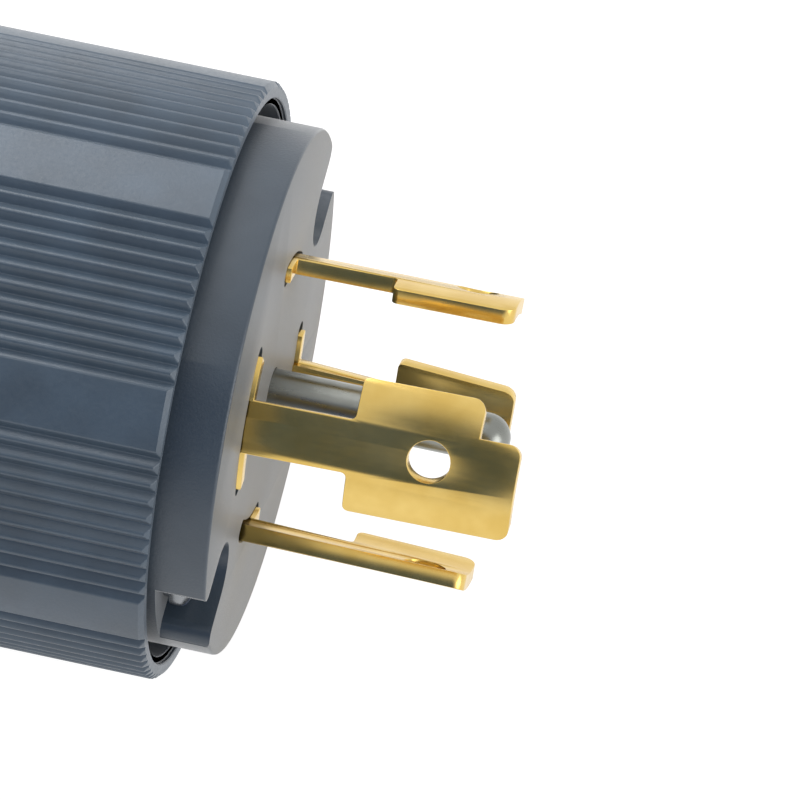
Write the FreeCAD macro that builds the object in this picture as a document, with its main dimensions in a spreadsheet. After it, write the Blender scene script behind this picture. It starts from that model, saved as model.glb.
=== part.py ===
"""Rewirable locking plug: four curved brass blades round a centre pin, held by a blade carrier and
a wiring block in a ribbed sleeve, with a rear cover that has a cord seal and a two-jaw clamp.

Each piece is drawn along a local Z that points out of the plug's front, with the carrier's face
at Z 0. FORWARD turns that axis to +X, local X to +Y and local Y to +Z, so that the plug lies on
the flat of its sleeve. Angles round the axis start at +Y and grow towards +Z.
"""
import FreeCAD, Part
import Sketcher
import math
import os
from types import SimpleNamespace

Vector = FreeCAD.Vector
FORWARD = FreeCAD.Rotation(Vector(1, 1, 1), 120)
OVERRUN = 1.0   # how far a cutting tool passes the face that it opens
FULL_TURN = 360

SIZES = (
    # Round sizes, from the core outwards
    ("core_radius", 24.2, "carrier's rear, wiring block and cover's spigot"),
    ("core_gap", 0.4, "core to the sleeve's bore"),
    ("flange_reach", 1.7, "carrier's flange past the core"),
    ("flange_gap", 0.3, "flange to the sleeve's mouth"),
    ("face_setback", 0.9, "carrier's front disc inside its flange"),
    ("rim_wall", 2.2, "sleeve's wall at its mouth"),

    # Lengths from the face backwards
    ("face_stand", 5.0, "carrier's face ahead of the sleeve's rim"),
    ("mouth_depth", 5.0, "rim to the ledge that the flange seats on"),
    ("flange_thick", 1.3, "carrier's flange"),
    ("gasket_thick", 0.7, "rubber ring behind the flange"),
    ("gasket_setback", 0.1, "rubber ring clear of the sleeve's bore"),
    ("carrier_length", 16.0, "blade carrier, face to back"),
    ("block_length", 16.0, "wiring block"),
    ("sleeve_length", 41.0, "sleeve, rim to back"),

    # Finish of the carrier and the sleeve
    ("face_round", 0.4, "carrier's face edge"),
    ("rim_chamfer", 0.5, "sleeve's outer rim"),
    ("rim_step_width", 0.7, "step inside the sleeve's rim"),
    ("rim_step_depth", 0.4, "step inside the sleeve's rim"),
    ("groove_turn", 3.4, "one groove to the next"),
    ("groove_count", 10, "grooves in a group"),
    ("groove_depth", 0.46, "groove below the sleeve's skin"),
    ("groove_width", 1.44, "groove at the skin"),
    ("groove_root", 0.08, "groove at its bottom"),
    ("group_turn", 45.0, "one group of grooves to the next"),
    ("group_count", 6, "groups of grooves"),
    ("group_start", -36.9, "where the first group starts"),
    ("flat_half_turn", 18.0, "half the arc that the resting flat takes off"),

    # Blades
    ("blade_radius", 13.55, "blade's outer face"),
    ("blade_thick", 1.5, "brass of blades and strap"),
    ("blade_turn", 50.0, "middle of the first blade"),
    ("stem_length", 9.9, "face to the blade's foot"),
    ("narrow_length", 21.4, "face to the narrow blade's tip"),
    ("narrow_turn", 33.0, "arc of the narrow blade"),
    ("narrow_stem_turn", 20.5, "arc of its stem"),
    ("narrow_neck_turn", 24.0, "arc of its neck in the carrier"),
    ("wide_length", 25.4, "face to the wide blade's tip"),
    ("wide_turn", 55.5, "arc of the wide blade"),
    ("wide_stem_turn", 21.5, "arc of its stem"),
    ("wide_neck_turn", 36.0, "arc of its neck in the carrier"),
    ("wide_lug_turn", 44.0, "arc of its stop lug"),
    ("notch_length", 4.0, "notch down from the wide blade's tip"),
    ("notch_turn", 15.15, "arc of that notch"),
    ("blade_hole_radius", 2.0, "hole through each foot"),
    ("blade_hole_height", 17.2, "face to that hole's middle"),
    ("tip_round", 1.2, "corners of the tips"),
    ("heel_round", 0.6, "corners at the back of the feet"),
    ("shoulder_proud", 0.4, "shoulder ahead of the face"),
    ("shoulder_depth", 6.0, "shoulder into the carrier"),
    ("lug_thick", 1.6, "stop lug behind the carrier"),
    ("lug_turn_gap", 1.0, "stop lug's ends to its recess"),
    ("tail_width", 6.6, "flat tail in its wire chamber"),
    ("tail_set", 0.15, "flat tail inside the blade's curve"),
    ("tail_end_gap", 2.0, "tail's end to the block's back"),
    ("slot_gap", 0.12, "blade's faces to its slot"),
    ("slot_end_gap", 1.1, "shoulder's ends to the slot's ends"),

    # Centre pin and its strap
    ("pin_radius", 2.3, "pin"),
    ("pin_straight", 20.5, "face to where the tip's dome starts"),
    ("pin_relief", 0.3, "pin's neck in the carrier, under the pin's radius"),
    ("pin_hole_gap", 0.1, "pin to the hole in the face"),
    ("collar_reach", 1.1, "pin's collar past the pin"),
    ("collar_depth", 4.0, "face to the collar"),
    ("rivet_neck_radius", 2.0, "pin's end through the strap"),
    ("rivet_head_radius", 3.0, "pin's closed end behind the strap"),
    ("rivet_head_thick", 1.0, "pin's closed end behind the strap"),
    ("strap_pad_radius", 3.6, "strap's round end"),
    ("strap_bend", 1.0, "outside of the strap's bend"),

    # Screws that hold the plug together
    ("screw_inset", 4.3, "each long screw to the outside of the core"),
    ("screw_turn", 12.2, "first long screw"),
    ("screw_radius", 1.5, "long screw"),
    ("screw_length", 36.0, "under the head"),
    ("screw_head_radius", 3.05, "long screw"),
    ("screw_head_thick", 1.75, "long screw"),
    ("driver_slot_width", 0.9, "slot of every screw"),
    ("driver_slot_depth", 0.9, "slot of every screw"),
    ("screw_hole_gap", 0.25, "long screw to its holes"),
    ("pocket_radius", 3.6, "half the width of the screw's pocket"),
    ("pocket_depth", 4.0, "face to the pocket's floor"),
    ("pocket_round", 1.5, "pocket's outer corners"),
    ("thread_gap", 0.05, "screw to the thread that it runs in"),
    ("insert_wall", 1.05, "brass insert"),
    ("insert_length", 10.0, "brass insert"),
    ("insert_gap", 0.03, "brass insert to its boss"),
    ("boss_wall", 1.25, "plastic round the insert"),
    ("boss_gap", 0.3, "boss to the wiring block"),

    # Wire terminals
    ("chamber_width", 9.2, "wire chamber"),
    ("chamber_web", 2.6, "block's wall ahead of the chambers"),
    ("tail_gap", 0.3, "chamber's floor below the tail"),
    ("terminal_set", 7.8, "binding screw to the block's back"),
    ("terminal_screw_radius", 2.0, "binding screw"),
    ("terminal_screw_length", 9.8, "under the head"),
    ("terminal_head_radius", 4.0, "binding screw"),
    ("terminal_head_thick", 2.0, "binding screw"),
    ("wire_space", 5.0, "tail to the open pressure plate"),
    ("plate_thick", 1.5, "pressure plate"),
    ("plate_length", 10.0, "pressure plate, along the plug"),
    ("plate_side_gap", 0.4, "pressure plate to its chamber"),
    ("plate_hole_gap", 0.2, "pressure plate to its screw"),
    ("plate_head_gap", 0.1, "pressure plate to the screw's head"),
    ("plate_travel", 2.5, "pressure plate, open to closed"),
    ("channel_gap", 0.35, "binding screw to its channel"),
    ("channel_end_gap", 0.5, "closed screw to its channel's end"),

    # Rear cover, cord seal and clamp
    ("spigot_length", 6.0, "cover inside the sleeve"),
    ("spigot_wall", 2.4, "cover inside the sleeve"),
    ("cover_rim", 3.5, "cover's straight part behind the sleeve"),
    ("cover_straight", 1.5, "cover's room behind its rim, before its cone"),
    ("cover_cone", 10.5, "cover's cone"),
    ("cover_round", 5.0, "cover's shoulder"),
    ("neck_length", 6.0, "cover's neck"),
    ("neck_wall", 3.8, "plastic round the cord seal"),
    ("neck_taper", 1.5, "neck's front past its back"),
    ("neck_lip_length", 1.5, "lip behind the cord seal"),
    ("neck_lip_reach", 2.2, "lip over the cord seal"),
    ("cord_radius", 10.0, "cord that the plug takes"),
    ("seal_squeeze", 0.2, "cord seal's bore under the cord"),
    ("seal_wall", 3.3, "cord seal"),
    ("seal_length", 5.0, "cord seal"),
    ("seal_gap", 0.1, "cord seal to its seat"),
    ("seal_chamfer", 0.8, "cord seal's lead-in"),
    ("ring_thick", 1.3, "thrust ring ahead of the cord seal"),
    ("ring_gap", 0.6, "thrust ring to the cord"),
    ("jaw_wall", 4.5, "clamp jaws round the cord"),
    ("jaw_length", 13.0, "clamp jaws"),
    ("jaw_root", 1.5, "fixed jaw into the neck"),
    ("jaw_space", 1.5, "between the closed jaws"),
    ("jaw_back_gap", 0.4, "moving jaw to the neck"),
    ("ear_thick", 7.0, "clamp's ears"),
    ("ear_round", 3.0, "clamp's ears"),
    ("ear_reach", 4.5, "clamp screw to the ear's end"),
    ("clamp_screw_set", 2.0, "clamp screw past the jaw's outside"),
    ("clamp_screw_radius", 1.9, "clamp screw"),
    ("clamp_screw_end", 2.25, "clamp screw past the lower ear"),
    ("clamp_head_radius", 3.6, "clamp screw"),
    ("clamp_head_thick", 2.4, "clamp screw"),
    ("clamp_hole_gap", 0.25, "clamp screw to its holes"),
    ("nut_radius", 4.04, "hexagon nut, over its corners"),
    ("nut_thick", 3.0, "hexagon nut"),
    ("nut_gap", 0.15, "hexagon nut to its pocket"),
)


class Size:
    """A length or an angle: its number, and the expression of the sheet's cells that gives it."""

    def __init__(self, number, text):
        self.number = number
        self.text = text

    def __add__(self, other):
        other = as_size(other)
        return Size(self.number + other.number, "(%s + %s)" % (self.text, other.text))

    def __sub__(self, other):
        other = as_size(other)
        return Size(self.number - other.number, "(%s - %s)" % (self.text, other.text))

    def __mul__(self, other):
        other = as_size(other)
        return Size(self.number * other.number, "(%s * %s)" % (self.text, other.text))

    def __truediv__(self, other):
        other = as_size(other)
        return Size(self.number / other.number, "(%s / %s)" % (self.text, other.text))

    def __neg__(self):
        return Size(-self.number, "(0 - %s)" % self.text)


def as_size(amount):
    """A bare number as a Size."""
    if isinstance(amount, Size):
        return amount
    return Size(float(amount), "%.6f" % amount)


def cosine(turn):
    """Cosine of an angle in degrees."""
    return Size(math.cos(math.radians(turn.number)), "cos(%s)" % turn.text)


def sine(turn):
    """Sine of an angle in degrees."""
    return Size(math.sin(math.radians(turn.number)), "sin(%s)" % turn.text)


def square_root(amount):
    """Square root of a product of two lengths."""
    return Size(math.sqrt(amount.number), "sqrt(%s)" % amount.text)


def fill_sheet(document):
    """Write the driving sizes to a spreadsheet, and give them back by name."""
    sheet = document.addObject("Spreadsheet::Sheet", "Sizes")
    named = {}
    for row, (alias, number, note) in enumerate(SIZES, start=1):
        sheet.set("A%d" % row, alias)
        sheet.set("B%d" % row, str(number))
        sheet.set("C%d" % row, note)
        sheet.setAlias("B%d" % row, alias)
        named[alias] = Size(float(number), "Sizes." + alias)
    document.recompute()
    return SimpleNamespace(**named)


doc = FreeCAD.newDocument("locking_plug")
d = fill_sheet(doc)
nodes = []

# Radii, from the axis outwards
bore_radius = d.core_radius + d.core_gap
flange_radius = d.core_radius + d.flange_reach
face_radius = flange_radius - d.face_setback
mouth_radius = flange_radius + d.flange_gap
sleeve_radius = mouth_radius + d.rim_wall
blade_inner = d.blade_radius - d.blade_thick
blade_middle = d.blade_radius - d.blade_thick / 2
tail_outer = d.blade_radius - d.tail_set
tail_inner = tail_outer - d.blade_thick
collar_radius = d.pin_radius + d.collar_reach
collar_hole = collar_radius + d.pin_hole_gap
pin_hole = d.pin_radius + d.pin_hole_gap
plate_inner = tail_outer + d.wire_space
plate_outer = plate_inner + d.plate_thick
head_seat = plate_outer + d.plate_head_gap
screw_tip = head_seat - d.terminal_screw_length
thread_radius = d.terminal_screw_radius + d.thread_gap
insert_bore = d.screw_radius + d.thread_gap
insert_radius = insert_bore + d.insert_wall
screw_hole = d.screw_radius + d.screw_hole_gap
screw_ring_radius = d.core_radius - d.screw_inset

# Places along the plug, from the face backwards
rim = -d.face_stand
ledge = rim - d.mouth_depth
flange_back = ledge + d.gasket_thick
flange_front = flange_back + d.flange_thick
carrier_back = -d.carrier_length
block_back = carrier_back - d.block_length
sleeve_back = rim - d.sleeve_length
collar_front = -d.collar_depth
strap_back = carrier_back - d.blade_thick
rivet_back = strap_back - d.rivet_head_thick
chamber_front = carrier_back - d.chamber_web
lug_back = carrier_back - d.lug_thick
tail_back = block_back + d.tail_end_gap
terminal_place = block_back + d.terminal_set
pocket_floor = -d.pocket_depth
boss_front = block_back - d.boss_gap

# Places and radii of the rear cover, the cord seal and the clamp
spigot_front = sleeve_back + d.spigot_length
spigot_inner = d.core_radius - d.spigot_wall
rim_back = sleeve_back - d.cover_rim
neck_front = rim_back - d.cover_cone
neck_back = neck_front - d.neck_length
seal_back = neck_back + d.neck_lip_length
seal_front = seal_back + d.seal_length
ring_front = seal_front + d.ring_thick
seal_bore = d.cord_radius - d.seal_squeeze
seal_radius = seal_bore + d.seal_wall
neck_bore = seal_radius + d.seal_gap
neck_radius = neck_bore + d.neck_wall
jaw_radius = d.cord_radius + d.jaw_wall
jaw_back = neck_back - d.jaw_length
jaw_middle = neck_back - d.jaw_length / 2
jaw_edge = d.jaw_space / 2
ear_top = jaw_edge + d.ear_thick
clamp_offset = jaw_radius + d.clamp_screw_set
ear_end = clamp_offset + d.ear_reach
nut_top = d.nut_thick + d.nut_gap - ear_top
flat_height = -(sleeve_radius * cosine(d.flat_half_turn))

# Angles of the blades, their terminals and the long screws
QUARTER = FULL_TURN / 4
wide_place = d.blade_turn + QUARTER
narrow_places = (d.blade_turn, d.blade_turn + 2 * QUARTER, d.blade_turn + 3 * QUARTER)
ground_place = d.blade_turn + QUARTER / 2
terminal_places = (wide_place,) + narrow_places + (ground_place,)
screw_places = (d.screw_turn, d.screw_turn + 2 * QUARTER)


def tie(item, name, amount):
    """Bind a property to the cells that give its size."""
    item.setExpression(name, as_size(amount).text)


def move(item, x=0, y=0, z=0):
    """Bind an object's place."""
    tie(item, "Placement.Base.x", x)
    tie(item, "Placement.Base.y", y)
    tie(item, "Placement.Base.z", z)


def rod(name, radius, low, high, x=0, y=0):
    """Cylinder along the plug's axis, from low to high."""
    item = doc.addObject("Part::Cylinder", name)
    tie(item, "Radius", radius)
    tie(item, "Height", high - low)
    move(item, x, y, low)
    return item


def cross_rod(name, radius, low, high, z):
    """Cylinder that points away from the axis along local X."""
    item = doc.addObject("Part::Cylinder", name)
    item.Placement.Rotation = FreeCAD.Rotation(Vector(0, 1, 0), 90)
    tie(item, "Radius", radius)
    tie(item, "Height", high - low)
    move(item, low, 0, z)
    return item


def upright_rod(name, radius, low, high, x, z):
    """Cylinder along local Y, which is upright in the finished plug."""
    item = doc.addObject("Part::Cylinder", name)
    item.Placement.Rotation = FreeCAD.Rotation(Vector(1, 0, 0), -90)
    tie(item, "Radius", radius)
    tie(item, "Height", high - low)
    move(item, x, low, z)
    return item


def upright_hexagon(name, radius, low, high, x, z):
    """Six-sided prism along local Y."""
    item = doc.addObject("Part::Prism", name)
    item.Polygon = 6
    item.Placement.Rotation = FreeCAD.Rotation(Vector(1, 0, 0), -90)
    tie(item, "Circumradius", radius)
    tie(item, "Height", high - low)
    move(item, x, low, z)
    return item


def brick(name, x, y, z):
    """Box between pairs of low and high places."""
    item = doc.addObject("Part::Box", name)
    tie(item, "Length", x[1] - x[0])
    tie(item, "Width", y[1] - y[0])
    tie(item, "Height", z[1] - z[0])
    move(item, x[0], y[0], z[0])
    return item


def fuse(name, *items):
    """One solid from overlapping ones."""
    item = doc.addObject("Part::MultiFuse", name)
    item.Shapes = list(items)
    item.Refine = True
    return item


def cut(name, base, *tools):
    """The base without the tools."""
    item = doc.addObject("Part::Cut", name)
    item.Base = base
    item.Tool = tools[0] if len(tools) == 1 else fuse(name + "_tools", *tools)
    item.Refine = True
    return item


def turned_to(name, item, turn):
    """A copy of an object, turned round the plug's axis."""
    copy = doc.addObject("Part::Compound", name)
    copy.Links = [item]
    copy.Placement.Rotation = FreeCAD.Rotation(Vector(0, 0, 1), 1)
    tie(copy, "Placement.Rotation.Angle", turn)
    return copy


def arc_bar(name, inner, outer, low, high, start, turn):
    """Part of a tube: an arc of the ring between two radii, from low to high."""
    pie = doc.addObject("Part::Cylinder", name + "_pie")
    tie(pie, "Radius", outer)
    tie(pie, "Height", high - low)
    tie(pie, "Angle", turn)
    pie.Placement.Rotation = FreeCAD.Rotation(Vector(0, 0, 1), 1)
    tie(pie, "Placement.Rotation.Angle", start)
    tie(pie, "Placement.Base.z", low)
    return cut(name, pie, rod(name + "_inside", inner, low - OVERRUN, high + OVERRUN))


def centred_bar(name, low, high, turn):
    """Arc of blade brass, centred on local X."""
    return arc_bar(name, blade_inner, d.blade_radius, low, high, -turn / 2, turn)


def outlined(body, name, plane, points):
    """Sketch of a closed outline whose corners are bound to the sheet."""
    sketch = body.newObject("Sketcher::SketchObject", name)
    support = [feature for feature in body.Origin.OriginFeatures if feature.Role == plane][0]
    sketch.AttachmentSupport = (support, "")
    sketch.MapMode = "FlatFace"
    corners = [(as_size(x), as_size(y)) for x, y in points]
    count = len(corners)
    for number in range(count):
        start = corners[number]
        end = corners[(number + 1) % count]
        sketch.addGeometry(Part.LineSegment(Vector(start[0].number, start[1].number, 0),
                                            Vector(end[0].number, end[1].number, 0)), False)
    for number in range(count):
        sketch.addConstraint(Sketcher.Constraint("Coincident", number, 2, (number + 1) % count, 1))
    for number, corner in enumerate(corners):
        for direction, place in zip(("DistanceX", "DistanceY"), corner):
            rule = Sketcher.Constraint(direction, -1, 1, number, 1, place.number)
            index = sketch.addConstraint(rule)
            sketch.setExpression("Constraints[%d]" % index, place.text)
    return sketch


def turned_body(name, points):
    """Body of revolution from an outline of radius and place along the axis."""
    body = doc.addObject("PartDesign::Body", name)
    sketch = outlined(body, name + "_outline", "XZ_Plane", points)
    turned = body.newObject("PartDesign::Revolution", name + "_turned")
    turned.Profile = sketch
    turned.ReferenceAxis = (sketch, ["V_Axis"])
    turned.Angle = FULL_TURN
    body.Tip = turned
    return body


def rounded(name, base, *choices):
    """Round the edges that each choice of radius and test picks."""
    doc.recompute()
    edges = []
    for radius, wanted in choices:
        for number, edge in enumerate(base.Shape.Edges, start=1):
            if wanted(edge):
                edges.append((number, radius.number, radius.number))
    item = doc.addObject("Part::Fillet", name)
    item.Base = base
    item.Edges = edges
    return item


def near(one, other):
    """True where two numbers are the same place."""
    return abs(one - as_size(other).number) < 0.001


def spans(edge):
    """Low and high corners of an edge's own box."""
    box = edge.BoundBox
    return (box.XMin, box.XMax), (box.YMin, box.YMax), (box.ZMin, box.ZMax)


def add_node(label, *items, turn=None):
    """Finish a sub-part: turn it to its place round the axis, then point the axis forward."""
    if turn is not None:
        items = [turned_to(label + "_" + item.Name, item, turn) for item in items]
    node = doc.addObject("Part::Compound", label)
    node.Label = label
    node.Links = list(items)
    node.Placement = FreeCAD.Placement(Vector(), FORWARD)
    nodes.append(node)


def across(edge, place):
    """True for an edge straight through the blade's thickness, at one place along the plug."""
    low, high = spans(edge)[2]
    level = near(low, place) and near(high, place)
    return level and isinstance(edge.Curve, Part.Line) and near(edge.Length, d.blade_thick)


def blade_tail(name):
    """Flat tail that lies in the wire chamber."""
    return brick(name, (tail_inner, tail_outer), (-d.tail_width / 2, d.tail_width / 2),
                 (tail_back, carrier_back - d.lug_thick / 2))


def screw_thread_hole(name):
    """Threaded hole for the binding screw, from inside the tail to outside it."""
    return cross_rod(name, thread_radius, tail_inner - OVERRUN, tail_outer + OVERRUN,
                     terminal_place)


def narrow_blade():
    """Blade whose foot steps out on one side of its stem."""
    half = d.narrow_turn / 2
    overlap = d.shoulder_proud
    foot = centred_bar("narrow_foot", d.stem_length, d.narrow_length, d.narrow_turn)
    stem = arc_bar("narrow_stem", blade_inner, d.blade_radius, -overlap, d.stem_length + overlap,
                   -half, d.narrow_stem_turn)
    shoulder = centred_bar("narrow_shoulder", -d.shoulder_depth, d.shoulder_proud, d.narrow_turn)
    neck = centred_bar("narrow_neck", lug_back, -d.shoulder_depth + overlap, d.narrow_neck_turn)
    lug = centred_bar("narrow_lug", lug_back, carrier_back, d.narrow_turn)
    brass = fuse("narrow_brass", foot, stem, shoulder, neck, lug, blade_tail("narrow_tail"))
    hole = cross_rod("narrow_hole", d.blade_hole_radius, 0, d.blade_radius + OVERRUN,
                     d.blade_hole_height)
    hole = turned_to("narrow_hole_turned", hole, d.narrow_stem_turn / 2 - half)
    blade = cut("narrow_drilled", brass, hole, screw_thread_hole("narrow_thread"))
    return rounded("narrow_blade_shape", blade,
                   (d.tip_round, lambda edge: across(edge, d.narrow_length)),
                   (d.heel_round, lambda edge: across(edge, d.stem_length)))


def wide_blade():
    """Blade with a T-shaped foot that is notched at one corner of its tip."""
    half = d.wide_turn / 2
    overlap = d.shoulder_proud
    notch_end = d.wide_length - d.notch_length
    foot = centred_bar("wide_foot", d.stem_length, d.wide_length, d.wide_turn)
    stem = centred_bar("wide_stem", -overlap, d.stem_length + overlap, d.wide_stem_turn)
    shoulder = centred_bar("wide_shoulder", -d.shoulder_depth, d.shoulder_proud, d.wide_turn)
    neck = centred_bar("wide_neck", lug_back, -d.shoulder_depth + overlap, d.wide_neck_turn)
    lug = centred_bar("wide_lug", lug_back, carrier_back, d.wide_lug_turn)
    brass = fuse("wide_brass", foot, stem, shoulder, neck, lug, blade_tail("wide_tail"))
    notch = arc_bar("wide_notch", blade_inner - OVERRUN, d.blade_radius + OVERRUN, notch_end,
                    d.wide_length + OVERRUN, -half - d.notch_turn, d.notch_turn * 2)
    hole = cross_rod("wide_hole", d.blade_hole_radius, 0, d.blade_radius + OVERRUN,
                     d.blade_hole_height)
    blade = cut("wide_cut", brass, notch, hole, screw_thread_hole("wide_thread"))
    return rounded("wide_blade_shape", blade,
                   (d.tip_round, lambda edge: across(edge, d.wide_length)),
                   (d.heel_round, lambda edge: across(edge, notch_end)),
                   (d.heel_round, lambda edge: across(edge, d.stem_length)))


def ground_pin():
    """Round pin with a domed tip, a collar in the carrier and an end riveted over the strap."""
    straight = rod("pin_straight", d.pin_radius, as_size(0), d.pin_straight)
    dome = doc.addObject("Part::Sphere", "pin_dome")
    tie(dome, "Radius", d.pin_radius)
    move(dome, z=d.pin_straight)
    relief = rod("pin_relief", d.pin_radius - d.pin_relief, collar_front, as_size(0))
    collar = rod("pin_collar", collar_radius, carrier_back, collar_front)
    neck = rod("pin_rivet_neck", d.rivet_neck_radius, strap_back, carrier_back)
    head = rod("pin_rivet_head", d.rivet_head_radius, rivet_back, strap_back)
    return fuse("pin_shape", straight, dome, relief, collar, neck, head)


def ground_strap():
    """Bent strip from the pin's riveted end to the ground terminal."""
    half = d.tail_width / 2
    pad = rod("strap_pad", d.strap_pad_radius, strap_back, carrier_back)
    strip = brick("strap_strip", (as_size(0), tail_outer), (-half, half),
                  (strap_back, carrier_back))
    tail = brick("strap_tail", (tail_inner, tail_outer), (-half, half),
                 (tail_back, carrier_back))
    hole = rod("strap_hole", d.rivet_neck_radius + d.thread_gap, strap_back - OVERRUN,
               carrier_back + OVERRUN)
    strap = cut("strap_drilled", fuse("strap_brass", pad, strip, tail), hole,
                screw_thread_hole("strap_thread"))

    def outside_bend(edge):
        wide, _, high = spans(edge)
        return near(wide[0], tail_outer) and near(high[0], carrier_back)

    return rounded("strap_shape", strap, (d.strap_bend, outside_bend))


def blade_slot(name, shoulder_turn, neck_turn):
    """Slot that takes a blade: round-ended at the face, then close round the neck."""
    inner = blade_inner - d.slot_gap
    outer = d.blade_radius + d.slot_gap
    end_radius = d.blade_thick / 2 + d.slot_gap
    degrees = FULL_TURN / (2 * math.pi)
    end_turn = (d.slot_end_gap - end_radius) / blade_middle * degrees
    side_turn = d.slot_gap / blade_middle * degrees
    half = shoulder_turn / 2 + end_turn
    floor = -d.shoulder_depth
    top = as_size(OVERRUN)
    front = arc_bar(name + "_front", inner, outer, floor, top, -half, half * 2)
    ends = [rod(name + "_end", end_radius, floor, top, blade_middle * cosine(turn),
                blade_middle * sine(turn)) for turn in (-half, half)]
    rear = arc_bar(name + "_rear", inner, outer, carrier_back - OVERRUN, floor + OVERRUN,
                   -neck_turn / 2 - side_turn, neck_turn + side_turn * 2)
    return fuse(name, front, rear, *ends)


def pocket_corner(side):
    """What rounds the corner between a pocket's wall and the carrier's edge."""
    top = as_size(OVERRUN)
    inset = face_radius - d.pocket_round
    height = d.pocket_radius + d.pocket_round
    middle = square_root(inset * inset - height * height)
    reach = height * face_radius / inset
    low, high = sorted((as_size(0), reach * side), key=lambda place: place.number)
    room = brick("corner_room", (middle, face_radius + OVERRUN), (low, high), (pocket_floor, top))
    kept = rod("corner_kept", d.pocket_round, pocket_floor - OVERRUN, top + OVERRUN, middle,
               height * side)
    return cut("pocket_corner", room, kept)


def screw_pocket():
    """Pocket for a long screw's head, open to the carrier's edge, with the screw's hole."""
    top = as_size(OVERRUN)
    mouth = brick("pocket_mouth", (screw_ring_radius, face_radius + OVERRUN),
                  (-d.pocket_radius, d.pocket_radius), (pocket_floor, top))
    back = rod("pocket_back", d.pocket_radius, pocket_floor, top, screw_ring_radius)
    hole = rod("pocket_hole", screw_hole, carrier_back - OVERRUN, top, screw_ring_radius)
    return fuse("pocket", mouth, back, hole, pocket_corner(1), pocket_corner(-1))


def blade_carrier():
    """Front insulator: flanged disc with blade slots, a pin hole and two screw pockets."""
    blank = turned_body("carrier_blank", (
        (pin_hole, 0),
        (face_radius, 0),
        (face_radius, flange_front),
        (flange_radius, flange_front),
        (flange_radius, flange_back),
        (d.core_radius, flange_back),
        (d.core_radius, carrier_back),
        (collar_hole, carrier_back),
        (collar_hole, collar_front),
        (pin_hole, collar_front)))

    def face_edge(edge):
        box = edge.BoundBox
        return near(box.ZMin, 0) and near(box.ZMax, 0) and near(box.XMax, face_radius)

    disc = rounded("carrier_disc", blank, (d.face_round, face_edge))
    narrow_slot = blade_slot("narrow_slot", d.narrow_turn, d.narrow_neck_turn)
    wide_slot = blade_slot("wide_slot", d.wide_turn, d.wide_neck_turn)
    pocket = screw_pocket()
    tools = [turned_to("slot", narrow_slot, place) for place in narrow_places]
    tools.append(turned_to("slot", wide_slot, wide_place))
    tools.extend(turned_to("screw_pocket", pocket, place) for place in screw_places)
    return cut("carrier_shape", disc, *tools)


def chamber():
    """Wire chamber, open outwards and to the back, with the tail's slot and the screw's channel."""
    half = d.chamber_width / 2
    tail_half = d.tail_width / 2 + d.slot_gap
    room = brick("chamber_room", (tail_inner - d.tail_gap, d.core_radius + OVERRUN),
                 (-half, half), (block_back - OVERRUN, chamber_front))
    slot = brick("chamber_slot", (tail_inner - d.slot_gap, tail_outer + d.slot_gap),
                 (-tail_half, tail_half), (chamber_front - OVERRUN, carrier_back + OVERRUN))
    channel = cross_rod("chamber_channel", d.terminal_screw_radius + d.channel_gap,
                        screw_tip - d.plate_travel - d.channel_end_gap, tail_inner,
                        terminal_place)
    return fuse("chamber", room, slot, channel)


def lug_recess(name, turn):
    """Recess that traps a blade's stop lug against the carrier."""
    return arc_bar(name, blade_inner - d.slot_gap, d.blade_radius + d.slot_gap,
                   lug_back - d.slot_gap, carrier_back + OVERRUN, -turn / 2 - d.lug_turn_gap,
                   turn + d.lug_turn_gap * 2)


def terminal_block():
    """Rear insulator with a wire chamber for each terminal."""
    blank = rod("block_blank", d.core_radius, block_back, carrier_back)
    one_chamber = chamber()
    narrow_recess = lug_recess("narrow_recess", d.narrow_turn)
    wide_recess = lug_recess("wide_recess", d.wide_lug_turn)
    pad_radius = d.strap_pad_radius + d.slot_gap
    half = d.tail_width / 2 + d.slot_gap
    strap_slot = brick("strap_slot", (as_size(0), tail_outer + d.slot_gap), (-half, half),
                       (strap_back - d.slot_gap, carrier_back + OVERRUN))
    rivet_room = rod("rivet_room", pad_radius, rivet_back - d.tail_gap, carrier_back + OVERRUN)
    hole = rod("block_hole", screw_hole, block_back - OVERRUN, carrier_back + OVERRUN,
               screw_ring_radius)
    tools = [turned_to("block_chamber", one_chamber, place) for place in terminal_places]
    tools.extend(turned_to("block_recess", narrow_recess, place) for place in narrow_places)
    tools.append(turned_to("block_recess", wide_recess, wide_place))
    tools.append(turned_to("block_strap_slot", strap_slot, ground_place))
    tools.append(rivet_room)
    tools.extend(turned_to("block_screw_hole", hole, place) for place in screw_places)
    return cut("block_shape", blank, *tools)


def pressure_plate():
    """Plate that the binding screw presses on the wire, drawn in its open place."""
    half = d.chamber_width / 2 - d.plate_side_gap
    reach = d.plate_length / 2
    plate = brick("plate_blank", (plate_inner, plate_outer), (-half, half),
                  (terminal_place - reach, terminal_place + reach))
    hole = cross_rod("plate_hole", d.terminal_screw_radius + d.plate_hole_gap,
                     plate_inner - OVERRUN, plate_outer + OVERRUN, terminal_place)
    return cut("plate_shape", plate, hole)


def binding_screw():
    """Slotted screw that points at the axis."""
    head_top = head_seat + d.terminal_head_thick
    half = d.driver_slot_width / 2
    shank = cross_rod("binding_shank", d.terminal_screw_radius, screw_tip, head_seat,
                      terminal_place)
    head = cross_rod("binding_head", d.terminal_head_radius, head_seat, head_top, terminal_place)
    slot = brick("binding_slot", (head_top - d.driver_slot_depth, head_top + OVERRUN),
                 (-half, half), (terminal_place - d.terminal_head_radius - OVERRUN,
                                 terminal_place + d.terminal_head_radius + OVERRUN))
    return cut("binding_screw_shape", fuse("binding_solid", shank, head), slot)


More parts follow.
